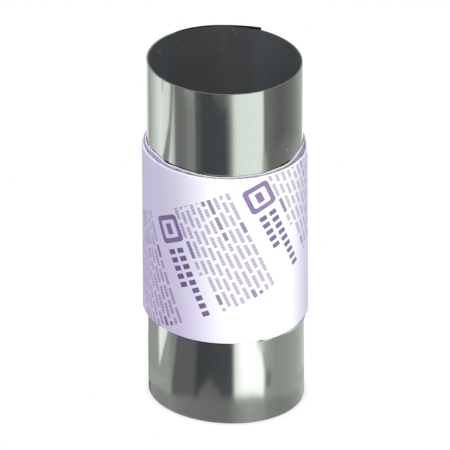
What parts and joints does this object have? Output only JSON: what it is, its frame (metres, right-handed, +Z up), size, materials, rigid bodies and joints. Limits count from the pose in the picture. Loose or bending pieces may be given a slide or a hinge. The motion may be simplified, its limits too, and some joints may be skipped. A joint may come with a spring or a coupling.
{
  "type": "roll of shim stock",
  "caption": "Thin steel shim strip wound into an open roll that stands on its end, held shut by a printed wrap band round its middle.",
  "frame": {"origin": "centre of the roll's bottom end, on the surface that it stands on", "axes": "+Z up along the roll's axis; -Y towards the camera of the picture, +X to its right"},
  "size_m": [0.0684, 0.0684, 0.1524],
  "materials": {
    "steel_strip": "bright cold-rolled, with fine marks along the strip",
    "printed_band": "satin white with lilac tint and slanted purple print"
  },
  "bodies": {
    "root": {"shim_roll": "steel_strip", "wrap_band": "printed_band"}
  },
  "joints": []
}
